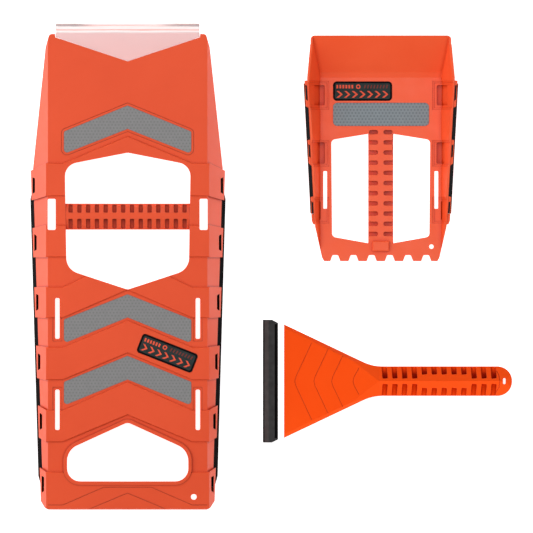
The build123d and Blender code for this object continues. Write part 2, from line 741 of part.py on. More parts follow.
def make_compact():
    """The nodes of the compact shovel in its own frame."""
    body = tray_shell() - tray_hollow()
    boxes = [tray_box(box) for box in TRAY_BOXES]
    pockets = [tray_pocket(box) for box in TRAY_BOXES]
    hollow = tray_hollow()
    body += [box - hollow for box in boxes + [other_side(box) for box in boxes]]
    body -= pockets + [other_side(pocket) for pocket in pockets]

    window = prism(tray_window_plan(), -1, TRAY_Z + 5)
    slot = prism(rounded_box(*TRAY_SLOT, 1.2), -1, TRAY_Z + 5)
    right = [window, slot, tray_strip(PLAY)] + tray_belt_windows()
    body -= right + [other_side(cut) for cut in right]
    bar, cuts = tray_grip()
    body += bar
    body -= cuts
    body -= tray_teeth_gaps()
    body -= prism(Pos(*TRAY_LANYARD_AT) * Circle(TRAY_LANYARD_R), 0, TRAY_Z + 5)

    block = prism(rounded_box(*GRIP_BLOCK, 1.5), TRAY_Z - 1, TRAY_Z + GRIP_BLOCK_HEIGHT)
    top_edges = block.edges().group_by(Axis.Z)[-1]
    body += chamfer(top_edges, 1.2)

    nodes = {}
    for name, place in (("compact_reflector", TRAY_REFLECTOR), ("compact_badge", TRAY_BADGE)):
        plan = rounded_box(*place)
        nodes[name] = prism(plan, TRAY_Z - INLAY_DEPTH, TRAY_Z + INLAY_PROUD)
        body -= prism(offset(plan, 0.1), TRAY_Z - INLAY_DEPTH, TRAY_Z + 1)
    nodes["compact_body"] = body
    nodes["compact_strip_right"] = tray_strip()
    nodes["compact_strip_left"] = other_side(tray_strip())
    return nodes


# ---- scraper ---------------------------------------------------------------------------------------------
# u runs from the blade's edge to the end of the handle, v across the blade
def above_plane(first, second, third, size=800.0):
    """A large block on the upper side of the plane through three points."""
    a, b, c = Vector(*first), Vector(*second), Vector(*third)
    normal = (b - a).cross(c - a).normalized()
    if normal.Z < 0:
        normal = normal * -1
    plane = Plane(origin=a, x_dir=(b - a).normalized(), z_dir=normal)
    return plane * Box(size, size, size, align=(Align.CENTER, Align.CENTER, Align.MIN))


def scraper_plan():
    """Plan of the blade, the neck and the handle."""
    corner_u = (SCRAPER_BLADE_HALF - SCRAPER_HALF) / SCRAPER_SIDE_SLOPE
    end = SCRAPER_LENGTH
    points = [
        (0, -SCRAPER_BLADE_HALF),
        (corner_u, -SCRAPER_HALF),
        (end, -SCRAPER_HALF),
        (end, SCRAPER_HALF),
        (corner_u, SCRAPER_HALF),
        (0, SCRAPER_BLADE_HALF),
    ]
    face = Polygon(*points, align=None)
    neck = [c for c in face.vertices() if abs(c.X - corner_u) < 0.01]
    face = fillet(neck, NECK_RADIUS)
    tail = [c for c in face.vertices() if abs(c.X - end) < 0.01]
    return fillet(tail, SCRAPER_HALF - 0.5)


def across(profile, half):
    """The solid with a profile in u and z that reaches half to each side."""
    return along_v(profile, -half, half)


def scraper_top_z(u):
    """Height of the blade's flat top, which rises towards the handle."""
    rise = (SCRAPER_TOP_Z - SCRAPER_EDGE_Z[1]) / SCRAPER_NECK
    return SCRAPER_EDGE_Z[1] + rise * u


def bevel_cut(side):
    """The wedge off one long edge of the blade, as wide all along and deeper towards the neck."""
    sections = []
    for u, drop in BEVEL_DROPS:
        inner_v = SCRAPER_BLADE_HALF - SCRAPER_SIDE_SLOPE * u - BEVEL_WIDTH
        top = scraper_top_z(u)
        points = [(inner_v, top), (inner_v + 2 * BEVEL_WIDTH, top - 2 * drop)]
        points += [(inner_v + 2 * BEVEL_WIDTH, top + 8), (inner_v, top + 8)]
        plane = Plane((u, 0, 0), x_dir=(0, 1, 0), z_dir=(1, 0, 0))
        sections.append(plane * Polygon(*[(side * v, z) for v, z in points], align=None))
    return loft(sections, ruled=True)


def make_scraper_body():
    """The blade and the ribbed handle."""
    plan = scraper_plan()
    edge_low, edge_high = SCRAPER_EDGE_Z
    profile = [
        (0, edge_low),
        (26.0, 0.0),
        (SCRAPER_LENGTH, 0.0),
        (SCRAPER_LENGTH, SCRAPER_TOP_Z - 4),
        (SCRAPER_LENGTH - 9, SCRAPER_TOP_Z),
        (SCRAPER_NECK, SCRAPER_TOP_Z),
        (0, edge_high),
    ]
    body = prism(plan, 0, SCRAPER_TOP_Z) & across(profile, SCRAPER_BLADE_HALF)

    blade_zone = slab((-5, SCRAPER_NECK), (-90, 90), (-1, 40))
    handle_zone = slab((SCRAPER_NECK, SCRAPER_LENGTH + 5), (-90, 90), (-1, 40))
    for side in (-1, 1):
        shoulder = above_plane(
            (SCRAPER_NECK, 0, SCRAPER_TOP_Z),
            (SCRAPER_NECK, side * SCRAPER_HALF, HANDLE_SIDE_Z),
            (90.0, side * 26.0, scraper_top_z(90.0)),
        )
        roof = above_plane(
            (SCRAPER_NECK, 0, SCRAPER_TOP_Z),
            (SCRAPER_NECK, side * SCRAPER_HALF, HANDLE_SIDE_Z),
            (SCRAPER_LENGTH, 0, SCRAPER_TOP_Z),
        )
        half = slab((-5, SCRAPER_LENGTH + 5), (0, 90) if side > 0 else (-90, 0), (-1, 40))
        body -= bevel_cut(side)
        body -= shoulder & blade_zone & half
        body -= roof & handle_zone & half

        low_roof = above_plane(
            (SCRAPER_NECK, 0, SCRAPER_TOP_Z - GROOVE_DEPTH),
            (SCRAPER_NECK, side * SCRAPER_HALF, HANDLE_SIDE_Z - GROOVE_DEPTH),
            (SCRAPER_LENGTH, 0, SCRAPER_TOP_Z - GROOVE_DEPTH),
        )
        body -= prism(stroke(HANDLE_END_LINE, 1.2), 0, 40) & low_roof & half

    cuts = []
    for index in range(HANDLE_POCKETS):
        u = HANDLE_FIRST_POCKET + index * HANDLE_POCKET_PITCH
        inner, outer = SHORT_POCKET_V if 4 <= index <= 8 else LONG_POCKET_V
        for side in (-1, 1):
            middle = side * (inner + outer) / 2
            plan = RectangleRounded(HANDLE_POCKET_WIDTH, outer - inner, 1.2)
            plan = Pos(u, middle) * Rot(0, 0, side * HANDLE_POCKET_LEAN) * plan
            cuts.append(prism(plan, POCKET_FLOOR_Z, SCRAPER_TOP_Z + 1))
    cuts.append(prism(Pos(HANG_HOLE_U, 0) * Rot(0, 0, 90) * SlotOverall(8.0, 3.6), -1, SCRAPER_TOP_Z + 1))
    body -= cuts

    for apex, reach in SCRAPER_CHEVRONS:
        line = [(apex + CHEVRON_SWEEP * reach, reach), (apex + 1.5, 6.0), (apex, 0.0)]
        line += [(u, -v) for u, v in reversed(line[:-1])]
        groove = prism(stroke(line, CHEVRON_WIDTH), 0, 40)
        rise = (scraper_top_z(100.0) - scraper_top_z(0.0)) / 100.0
        floor = scraper_top_z(0.0) - GROOVE_DEPTH
        below = across([(-5, -5), (130, -5), (130, floor + 130 * rise), (-5, floor - 5 * rise)], REACH)
        body -= groove - below
    return body


def make_squeegee():
    """The rail and its rubber lip, off the blade. The rail's slot faces the blade."""
    right = -SQUEEGEE_GAP
    left = right - SQUEEGEE_WIDTH
    half = SQUEEGEE_HALF
    plan_points = [(left, -half), (left, half), (right - 8, half), (right, half - 4.0), (right, 4.0 - half)]
    plan_points.append((right - 8, -half))
    plan = Polygon(*plan_points, align=None)
    profile = [
        (left, 1.6),
        (left + 3, 0.0),
        (right - 1, 0.0),
        (right, 1.0),
        (right, SQUEEGEE_HEIGHT - 1.8),
        (right - 3, SQUEEGEE_HEIGHT),
        (left + 5, SQUEEGEE_HEIGHT),
        (left, SQUEEGEE_HEIGHT - 3),
    ]
    rail = across(profile, half) & prism(plan, 0, SQUEEGEE_HEIGHT)
    slot_low, slot_high = SCRAPER_EDGE_Z[0] - JAW_PLAY[0], SCRAPER_EDGE_Z[1] + JAW_PLAY[1]
    slot = slab((right - SQUEEGEE_SLOT_DEPTH, right + 1), (-SQUEEGEE_SLOT_HALF, SQUEEGEE_SLOT_HALF),
                (slot_low, slot_high))
    rail -= slot
    jaw_gap = (right - JAW_SETBACK, right - JAW_BORDER)
    rail -= slab(jaw_gap, (-SQUEEGEE_SLOT_HALF, SQUEEGEE_SLOT_HALF), (slot_low, 20))
    lip_slot = slab((left - 1, left + 5.1), (-half - 1, half + 1), (2.4, 5.0))
    rail -= lip_slot
    lip_profile = [(left + 5.0, 2.5), (left + 5.0, 4.9), (left, 4.9), (left - LIP_PROUD, 3.9)]
    lip_profile += [(left - LIP_PROUD, 2.9), (left, 2.5)]
    return rail, across(lip_profile, half)


def make_scraper():
    """The nodes of the scraper in its own frame."""
    rail, lip = make_squeegee()
    return {"scraper_body": make_scraper_body(), "squeegee_holder": rail, "squeegee_lip": lip}


# ---- the set ---------------------------------------------------------------------------------------------
def main():
    """Place the three tools and write one file for each node."""
    shovel_half = rim(STRIP_RUN_V[1] - STRIP_ENDS[1]) + STRIP_PROUD[1]
    places = (
        (make_shovel(), Pos(shovel_half - SET_HALF_WIDTH, -SET_HALF_LENGTH, 0)),
        (make_compact(), Pos(COMPACT_CENTRE_X, COMPACT_EDGE_Y, 0)),
        (make_scraper(), Pos(SET_HALF_WIDTH - SCRAPER_LENGTH, SCRAPER_AXIS_Y, 0)),
    )
    os.makedirs("parts", exist_ok=True)
    for nodes, place in places:
        for name, shape in nodes.items():
            solid = place * one_solid(shape)
            solid.label = name
            export_step(solid, f"parts/{name}.step")


main()
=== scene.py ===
"""The looks of the avalanche shovel set: its materials, badge prints, floor, lights and camera."""
import math

import bmesh
import bpy
from mathutils import Matrix, Vector


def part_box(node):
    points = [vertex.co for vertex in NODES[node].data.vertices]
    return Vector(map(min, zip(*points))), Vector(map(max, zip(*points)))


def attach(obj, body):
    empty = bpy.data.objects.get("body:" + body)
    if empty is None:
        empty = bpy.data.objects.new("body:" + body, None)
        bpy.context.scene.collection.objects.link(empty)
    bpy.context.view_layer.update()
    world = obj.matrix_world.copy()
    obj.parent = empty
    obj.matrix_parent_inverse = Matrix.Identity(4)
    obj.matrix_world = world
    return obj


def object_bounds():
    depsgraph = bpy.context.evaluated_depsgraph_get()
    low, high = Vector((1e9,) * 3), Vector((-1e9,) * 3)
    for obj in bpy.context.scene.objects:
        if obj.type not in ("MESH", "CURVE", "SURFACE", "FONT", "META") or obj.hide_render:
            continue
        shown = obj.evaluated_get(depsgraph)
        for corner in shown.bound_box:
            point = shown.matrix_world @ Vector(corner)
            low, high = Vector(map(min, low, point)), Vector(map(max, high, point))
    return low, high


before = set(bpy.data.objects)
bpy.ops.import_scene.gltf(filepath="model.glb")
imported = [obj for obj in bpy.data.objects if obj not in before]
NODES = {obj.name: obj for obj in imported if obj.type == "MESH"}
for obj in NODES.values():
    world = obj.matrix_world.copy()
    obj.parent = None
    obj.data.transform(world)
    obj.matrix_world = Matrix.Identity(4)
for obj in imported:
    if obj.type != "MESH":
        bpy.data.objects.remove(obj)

CAD_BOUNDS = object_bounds()
MM = 0.001
BLACK = (0.0, 0.0, 0.0)
WHITE = (1.0, 1.0, 1.0)

# ---- surfaces --------------------------------------------------------------------------------------
EDGE_DOT = (0.995, 0.86)     # cosines of the turn between which a worn edge goes from none to full
CORNER_SAMPLES = 6
PLASTIC_IOR = 1.5
PLASTIC_ROUGH = (0.36, 0.5)
GRAIN_STRENGTH = 0.35
# painted shade: how far the darkening reaches in hollows and in tight inside corners, where it starts and
# ends on the occlusion, and how much it darkens the colour
CAVITY_SHADE_REACH = 9.0 * MM
CAVITY_SHADE_STOPS = (0.25, 0.62)
CAVITY_SHADE_TINT = (0.62, 0.5, 0.6)
CREVICE_SHADE_REACH = 3.2 * MM
CREVICE_SHADE_STOPS = (0.60, 0.96)
CREVICE_SHADE_TINT = (0.66, 0.42, 0.1)

DOT_PITCH = 4.4 * MM
DOT_ROW = 4.0 * MM
DOT_RADIUS = 1.15 * MM
DOT_BLUR = (1.2, 0.7)        # a dot fades from nothing to full between these shares of its radius

# painted reflections and highlights of the clear edge: pink for the orange light it picks up, white, salmon
# and greys for streaks of light in its bead, and a pale rim highlight
CLEAR_REFLECTED_PINK = (0.74, 0.44, 0.43)
CLEAR_GLINT_WHITE = (1.0, 0.99, 0.98)
CLEAR_REFLECTED_SALMON = (0.90, 0.26, 0.19)
CLEAR_REFLECTED_GREY = (0.16, 0.12, 0.12)
CLEAR_REFLECTED_PALE_GREY = (0.62, 0.50, 0.49)
CLEAR_RIM_HIGHLIGHT = (1.0, 0.9, 0.88)
CLEAR_ALPHA = 0.56
EDGE_BEAD = 13.0 * MM        # width of the clear edge's thick bead
BEAD_ENDS = (0.40, 0.72)     # the bead's painted streak colours at its ends fade in between these shares of its half length
# stretch and wander of the painted streaks of light in the bead
STREAK_SCALE = (14.0, 260.0, 0.0)
STREAK_WANDER = 2.0 * MM

SLOT_DEPTH = (1.0 * MM, 4.5 * MM)    # the squeegee's open slot, in from the rail's face
SLOT_END = 5.0 * MM                  # closed length of the rail at each end of its slot
SLOT_SKIN = (0.4 * MM, 0.2 * MM)     # rail below and above the painted black shade inside
# painted shade: near black painted inside the rail's slot, for the shade in it
SLOT_SHADE_BLACK = (0.0003, 0.0003, 0.0003)


class Nodes:
    """A small helper that adds and links shader nodes."""

    def __init__(self, name):
        self.material = bpy.data.materials.new(name)
        self.material.use_nodes = True
        self.tree = self.material.node_tree
        self.shader = self.tree.nodes["Principled BSDF"]
        coordinates = self.add("ShaderNodeTexCoord")
        self.place = coordinates.outputs["Object"]

    def add(self, kind, **values):
        node = self.tree.nodes.new(kind)
        for key, value in values.items():
            setattr(node, key, value)
        return node

    def link(self, source, target):
        self.tree.links.new(source, target)

    def noise(self, scale, detail=3.0, roughness=0.5, place=None):
        node = self.add("ShaderNodeTexNoise")
        node.inputs["Scale"].default_value = scale
        node.inputs["Detail"].default_value = detail
        node.inputs["Roughness"].default_value = roughness
        self.link(place or self.place, node.inputs["Vector"])
        return node.outputs["Fac"]

    def ramp(self, source, stops):
        """A colour ramp. stops holds pairs of a position and a colour."""
        node = self.add("ShaderNodeValToRGB")
        elements = node.color_ramp.elements
        while len(elements) < len(stops):
            elements.new(0.5)
        for element, (position, colour) in zip(elements, stops):
            element.position = position
            element.color = (*colour, 1.0)
        self.link(source, node.inputs["Fac"])
        return node.outputs["Color"]

    def scaled(self, source, low, high):
        node = self.add("ShaderNodeMapRange")
        node.inputs["To Min"].default_value = low
        node.inputs["To Max"].default_value = high
        self.link(source, node.inputs["Value"])
        return node.outputs["Result"]

    def between(self, source, start, end):
        """Nought at start and one at end."""
        node = self.add("ShaderNodeMapRange")
        node.inputs["From Min"].default_value = start
        node.inputs["From Max"].default_value = end
        self.link(source, node.inputs["Value"])
        return node.outputs["Result"]

    def vector(self, operation, source, values=None):
        """A vector node. values is its fixed second input, where it has one."""
        node = self.add("ShaderNodeVectorMath", operation=operation)
        if values is not None:
            node.inputs[1].default_value = values
        self.link(source, node.inputs[0])
        return node

    def calculate(self, operation, *sources):
        """A maths node. A source is a socket or a fixed number."""
        node = self.add("ShaderNodeMath", operation=operation)
        for source, target in zip(sources, node.inputs):
            if isinstance(source, float):
                target.default_value = source
            else:
                self.link(source, target)
        return node.outputs["Value"]

    def mix(self, factor, first, second):
        """Mixes two colours. Each is a socket or a fixed colour, and the factor is a socket."""
        node = self.add("ShaderNodeMix", data_type="RGBA")
        for socket, value in (("Factor", factor), ("A", first), ("B", second)):
            target = next(s for s in node.inputs if s.name == socket and s.enabled)
            if isinstance(value, tuple):
                target.default_value = (*value, 1.0)
            else:
                self.link(value, target)
        return next(s for s in node.outputs if s.enabled)

    def bump(self, height, strength, distance, normal=None):
        node = self.add("ShaderNodeBump")
        node.inputs["Strength"].default_value = strength
        node.inputs["Distance"].default_value = distance
        self.link(height, node.inputs["Height"])
        if normal is not None:
            self.link(normal, node.inputs["Normal"])
        return node.outputs["Normal"]

    def rounded(self, radius):
        """A normal that rounds off the sharp edges."""
        node = self.add("ShaderNodeBevel", samples=CORNER_SAMPLES)
        node.inputs["Radius"].default_value = radius
        return node.outputs["Normal"]

    def edge_mask(self, radius):
        """Bright where the surface turns sharply: it marks worn edges, and the painted rim highlight of the
        clear edge.
        """
        soft = self.rounded(radius)
        geometry = self.add("ShaderNodeNewGeometry")
        dot = self.vector("DOT_PRODUCT", soft)
        self.link(geometry.outputs["Normal"], dot.inputs[1])
        return self.between(dot.outputs["Value"], *EDGE_DOT)

    def worn_edge(self, radius, patches, most):
        """Bright in patches along the sharp edges."""
        return self.calculate("MULTIPLY", self.edge_mask(radius), self.scaled(patches, 0.0, most))

    def dots(self, pitch, radius):
        """Bright in round dots: one lattice, and the same lattice moved by half its pitch both ways."""
        flat = self.vector("MULTIPLY", self.place, (1.0 / pitch[0], 1.0 / pitch[1], 0.0))
        nearest = []
        for shift in (0.0, 0.5):
            moved = self.vector("ADD", flat.outputs["Vector"], (shift, shift, 0.0))
            cell = self.vector("FRACTION", moved.outputs["Vector"])
            centred = self.vector("SUBTRACT", cell.outputs["Vector"], (0.5, 0.5, 0.0))
            scaled = self.vector("MULTIPLY", centred.outputs["Vector"], (*pitch, 0.0))
            nearest.append(self.vector("LENGTH", scaled.outputs["Vector"]).outputs["Value"])
        closest = self.calculate("MINIMUM", *nearest)
        return self.between(closest, *(share * radius for share in DOT_BLUR))

    def inside(self, box):
        """One inside a box and nought outside it."""
        split = self.add("ShaderNodeSeparateXYZ")
        self.link(self.place, split.inputs["Vector"])
        result = None
        for axis, low, high in zip("XYZ", *box):
            within = self.calculate("COMPARE", split.outputs[axis], (low + high) / 2, (high - low) / 2)
            result = within if result is None else self.calculate("MULTIPLY", result, within)
        return result

    def corner_darkness(self, reach):
        """Dark in tight inside corners, where shade falls: the occlusion that drives the painted shade."""
        node = self.add("ShaderNodeAmbientOcclusion", samples=CORNER_SAMPLES)
        node.inputs["Distance"].default_value = reach
        return node.outputs["AO"]

    def painted_shade_mask(self, reach, stops):
        """Bright in inside corners: the mask of the painted shade."""
        return self.ramp(self.corner_darkness(reach), list(zip(stops, (WHITE, BLACK))))


def times(colour, factors):
    """A colour with each of its parts multiplied."""
    return tuple(c * f for c, f in zip(colour, factors))


def moulded_plastic(name, colour, worn, deep, crevice_shade_tint=CREVICE_SHADE_TINT, reach=CREVICE_SHADE_REACH, gloss=0.5):
    """Satin injection-moulded plastic: fine spark-eroded grain, soft flow marks, paler worn edges, and
    painted shade in hollows and inside corners.
    """
    m = Nodes(name)
    flow = m.noise(scale=9.0, detail=4.0, roughness=0.6)
    fine = m.noise(scale=2600.0, detail=2.0, roughness=0.6)
    tint = m.ramp(flow, [(0.3, deep), (0.62, colour)])
    speck = m.noise(scale=900.0, detail=1.0)
    tint = m.mix(m.scaled(speck, low=0.0, high=0.05), tint, worn)
    wear = m.worn_edge(0.7 * MM, m.noise(scale=160.0, detail=4.0, roughness=0.7), most=0.55)
    # painted shade: the colour darkens in deep hollows and darkens further in tight inside corners
    tint = m.mix(m.painted_shade_mask(CAVITY_SHADE_REACH, CAVITY_SHADE_STOPS), tint, times(deep, CAVITY_SHADE_TINT))
    tint = m.mix(m.painted_shade_mask(reach, CREVICE_SHADE_STOPS), tint, times(deep, crevice_shade_tint))
    m.link(m.mix(wear, tint, worn), m.shader.inputs["Base Color"])
    m.link(m.scaled(m.noise(scale=70.0), *PLASTIC_ROUGH), m.shader.inputs["Roughness"])
    normal = m.bump(fine, GRAIN_STRENGTH, distance=0.05 * MM, normal=m.rounded(0.5 * MM))
    m.link(normal, m.shader.inputs["Normal"])
    m.shader.inputs["IOR"].default_value = PLASTIC_IOR
    m.shader.inputs["Specular IOR Level"].default_value = gloss
    return m.material


def clear_plastic():
    """Clear moulded plastic, painted pink for the orange light it picks up, with painted streaks of light in
    its thick edge and a painted highlight along its rim.
    """
    m = Nodes("clear_polycarbonate")
    low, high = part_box("clear_edge")
    across = m.add("ShaderNodeSeparateXYZ")
    m.link(m.place, across.inputs["Vector"])
    stretched = m.vector("MULTIPLY", m.place, STREAK_SCALE)
    streaks = m.noise(scale=1.0, detail=2.0, place=stretched.outputs["Vector"])
    wander = m.calculate("MULTIPLY_ADD", streaks, STREAK_WANDER, across.outputs["Y"])
    top = high.y + STREAK_WANDER / 2
    height = m.between(wander, top - EDGE_BEAD, top)
    pink, white, salmon, grey = CLEAR_REFLECTED_PINK, CLEAR_GLINT_WHITE, CLEAR_REFLECTED_SALMON, CLEAR_REFLECTED_GREY
    foot = [(0.0, pink), (0.07, CLEAR_REFLECTED_PALE_GREY), (0.13, white), (0.25, white), (0.36, salmon), (0.46, white)]
    end_top = [(0.68, white), (0.76, grey), (0.90, grey), (1.0, salmon)]
    middle_top = [(0.70, white), (0.77, salmon), (0.84, white), (1.0, CLEAR_REFLECTED_PALE_GREY)]
    # painted streaks of light across the bead, different at its ends and in its middle
    ends = m.ramp(height, foot + end_top)
    centre = m.ramp(height, foot + middle_top)
    distance = m.calculate("ABSOLUTE", m.calculate("SUBTRACT", across.outputs["X"], (low.x + high.x) / 2))
    half_length = (high.x - low.x) / 2
    bead = m.mix(m.between(distance, *(share * half_length for share in BEAD_ENDS)), centre, ends)
    faint = m.mix(m.scaled(m.noise(scale=30.0, detail=2.0), low=0.0, high=0.35), bead, pink)
    # painted highlight along the rim of the clear edge
    m.link(m.mix(m.edge_mask(0.8 * MM), faint, CLEAR_RIM_HIGHLIGHT), m.shader.inputs["Base Color"])
    m.link(m.scaled(m.noise(scale=300.0), low=0.06, high=0.14), m.shader.inputs["Roughness"])
    m.shader.inputs["Alpha"].default_value = CLEAR_ALPHA
    swell = m.noise(scale=40.0, detail=2.0)
    ripple = m.bump(swell, strength=0.25, distance=0.2 * MM, normal=m.rounded(0.4 * MM))
    m.link(ripple, m.shader.inputs["Normal"])
    return m.material


def reflective_sheet(name, colour, dot_colour):
    """Grey reflective sheet with staggered rows of dots under a clear film."""
    m = Nodes(name)
    mottle = m.noise(scale=220.0, roughness=0.6)
    ground = m.ramp(mottle, [(0.3, times(colour, (0.9, 0.9, 0.9))), (0.7, colour)])
    dots = m.dots((DOT_PITCH, 2 * DOT_ROW), DOT_RADIUS)
    m.link(m.mix(dots, ground, dot_colour), m.shader.inputs["Base Color"])
    m.link(m.scaled(m.noise(scale=500.0), low=0.34, high=0.5), m.shader.inputs["Roughness"])
    film = m.bump(m.noise(scale=1500.0), strength=0.2, distance=0.05 * MM, normal=m.rounded(0.3 * MM))
    m.link(film, m.shader.inputs["Normal"])
    return m.material


def dark_polymer(name, colour=(0.006, 0.006, 0.007), rough=(0.5, 0.68), gloss=0.5, slot=None):
    """Black rubber or dark plastic, paler on its worn edges. slot is a box painted black inside, as painted
    shade.
    """
    m = Nodes(name)
    cloud = m.noise(scale=120.0, detail=4.0)
    pale = tuple(1.6 * c + 0.002 for c in colour)
    worn = tuple(3.0 * c + 0.02 for c in colour)
    tint = m.ramp(cloud, [(0.35, colour), (0.8, pale)])
    tint = m.mix(m.worn_edge(0.5 * MM, m.noise(scale=300.0), most=0.7), tint, worn)
    # painted shade: inside the slot box the colour turns near black
    if slot is not None:
        tint = m.mix(m.inside(slot), tint, SLOT_SHADE_BLACK)
    m.link(tint, m.shader.inputs["Base Color"])
    m.link(m.scaled(m.noise(scale=260.0), *rough), m.shader.inputs["Roughness"])
    grain = m.bump(m.noise(scale=1800.0), strength=0.4, distance=0.06 * MM, normal=m.rounded(0.4 * MM))
    m.link(grain, m.shader.inputs["Normal"])
    m.shader.inputs["Specular IOR Level"].default_value = gloss
    return m.material


def rail_plastic():
    """Dark grey rail whose open slot is painted black inside, as painted shade."""
    low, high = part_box("squeegee_holder")
    slot_low = (high.x - SLOT_DEPTH[1], low.y + SLOT_END, low.z + SLOT_SKIN[0])
    slot_high = (high.x - SLOT_DEPTH[0], high.y - SLOT_END, high.z - SLOT_SKIN[1])
    slot = (slot_low, slot_high)
    return dark_polymer("rail_plastic", (0.030, 0.030, 0.030), rough=(0.32, 0.45), gloss=0.35, slot=slot)


def ink(name, colour):
    """Printed ink, slightly uneven and rubbed."""
    m = Nodes(name)
    rubbed = times(colour, (0.72, 0.72, 0.72))
    patches = m.noise(scale=700.0, roughness=0.7)
    m.link(m.ramp(patches, [(0.3, rubbed), (0.6, colour)]), m.shader.inputs["Base Color"])
    m.link(m.scaled(m.noise(scale=400.0), low=0.4, high=0.6), m.shader.inputs["Roughness"])
    m.link(m.bump(m.noise(scale=2500.0), strength=0.3, distance=0.03 * MM), m.shader.inputs["Normal"])
    m.shader.inputs["Specular IOR Level"].default_value = 0.25
    return m.material


# ---- materials of the CAD nodes --------------------------------------------------------------------
SHOVEL_ORANGE = moulded_plastic(
    "shovel_orange", colour=(0.85, 0.080, 0.017), worn=(0.90, 0.22, 0.10), deep=(0.81, 0.072, 0.014))
# painted shade and bounce light: in the compact's corners the painted shade reaches further and turns a
# saturated orange, standing for light bounced between its walls
COMPACT_ORANGE = moulded_plastic(
    "compact_orange", colour=(0.98, 0.110, 0.030), worn=(1.0, 0.26, 0.13), deep=(0.95, 0.095, 0.022),
    crevice_shade_tint=(0.74, 0.42, 0.02), reach=6.0 * MM, gloss=0.2)
SCRAPER_ORANGE = moulded_plastic(
    "scraper_orange", colour=(1.0, 0.080, 0.003), worn=(1.0, 0.20, 0.06), deep=(0.97, 0.073, 0.002),
    gloss=0.12)
RUBBER = dark_polymer("strip_rubber", gloss=0.3)
RAIL = rail_plastic()
SHEET = reflective_sheet("reflective_sheet", (0.255, 0.25, 0.25), dot_colour=(0.185, 0.185, 0.185))
COOL_SHEET = reflective_sheet("reflective_sheet_cool", (0.255, 0.295, 0.315), dot_colour=(0.145, 0.17, 0.195))
BADGE = dark_polymer("badge_black", (0.002, 0.002, 0.0025), rough=(0.4, 0.55), gloss=0.12)
FIELD = dark_polymer("badge_field", (0.020, 0.029, 0.029), rough=(0.4, 0.55), gloss=0.2)
PRINT_BRIGHT = ink("print_orange", (0.92, 0.115, 0.055))
PRINT_DIM = ink("print_faded", (0.20, 0.038, 0.030))
CLEAR = clear_plastic()

PAINTS = {
    "shovel_body": SHOVEL_ORANGE,
    "clear_edge": CLEAR,
    "reflector_upper": SHEET,
    "reflector_middle": SHEET,
    "reflector_lower": SHEET,
    "shovel_badge": BADGE,
    "shovel_strip_left": RUBBER,
    "shovel_strip_right": RUBBER,
    "compact_body": COMPACT_ORANGE,
    "compact_reflector": COOL_SHEET,
    "compact_badge": BADGE,
    "compact_strip_left": RUBBER,
    "compact_strip_right": RUBBER,
    "scraper_body": SCRAPER_ORANGE,
    "squeegee_holder": RAIL,
    "squeegee_lip": RUBBER,
}


def paint(node, material):
    """Gives a CAD node one material all over."""
    slots = NODES[node].data.materials
    if not slots:
        slots.append(material)
    for index in range(len(slots)):
        slots[index] = material


for node_name, material in PAINTS.items():
    paint(node_name, material)


# ---- badge prints ----------------------------------------------------------------------------------
# outlines in millimetres from the badge's middle, x along its length
COMPACT_BADGE_SIZE = (76.7, 25.0)
SHOVEL_BADGE_SIZE = (76.7, 25.6)
SHOVEL_BADGE_TURN = -21.5
FIELD_MARGIN = 2.3           # badge left bare round the field
FIELD_CORNER = 2.6
ROW_START = -34.0            # left end of both rows
ARROW_ROW = -4.2             # height of the row of arrowheads
ARROW_PITCH = 9.9
ARROWS = 7
BAR_ROW = 5.8                # height of the row of bars and the ring
BAR_HEIGHT = 4.6
BAR_PITCH = 3.9
BARS = 6
RING_AT = -5.6
FADED_START = 1.6
FADED_PITCH = 4.1
FADED_BARS = 8
PRINT_SINK = 0.2 * MM        # the badge prints start this far inside the plate
FIELD_RISE = 0.05 * MM
MARK_RISE = 0.14 * MM
WELD_DISTANCE = 0.001 * MM


def chevron(x, y, width, height, stroke):
    """A bold arrowhead that points along x."""
    half = height / 2
    tip = x + width
    upper_edge = [(x, y + half), (x + stroke, y + half), (tip, y)]
    lower_edge = [(x + stroke, y - half), (x, y - half), (tip - stroke, y)]
    return upper_edge + lower_edge


def bar(x, y, width, height, lean=0.0):
    """A short upright bar, or one whose top leans along x."""
    half = height / 2
    return [(x + lean, y + half), (x + width + lean, y + half), (x + width, y - half), (x, y - half)]


def rounded_field(width, height, radius, steps=6):
    """A rounded rectangle."""
    points = []
    for quarter, (sx, sy) in enumerate(((1, 1), (-1, 1), (-1, -1), (1, -1))):
        for step in range(steps + 1):
            angle = math.radians(90 * quarter + 90 * step / steps)
            x = sx * (width / 2 - radius) + radius * math.cos(angle)
            points.append((x, sy * (height / 2 - radius) + radius * math.sin(angle)))
    return points


def ring(x, y, outer, inner, steps=28):
    """The segments of a ring, each one a small outline."""
    segments = []
    for step in range(steps):
        a, b = (math.tau * k / steps for k in (step, step + 1))
        corners = ((outer, a), (outer, b), (inner, b), (inner, a))
        segments.append([(x + r * math.cos(t), y + r * math.sin(t)) for r, t in corners])
    return segments


def add_plate(bm, points, low, high):
    """A thin plate with this outline."""
    lower = [bm.verts.new((x * MM, y * MM, low)) for x, y in points]
    upper = [bm.verts.new((x * MM, y * MM, high)) for x, y in points]
    bm.faces.new(upper)
    bm.faces.new(list(reversed(lower)))
    count = len(points)
    for k in range(count):
        after = (k + 1) % count
        bm.faces.new((lower[k], lower[after], upper[after], upper[k]))


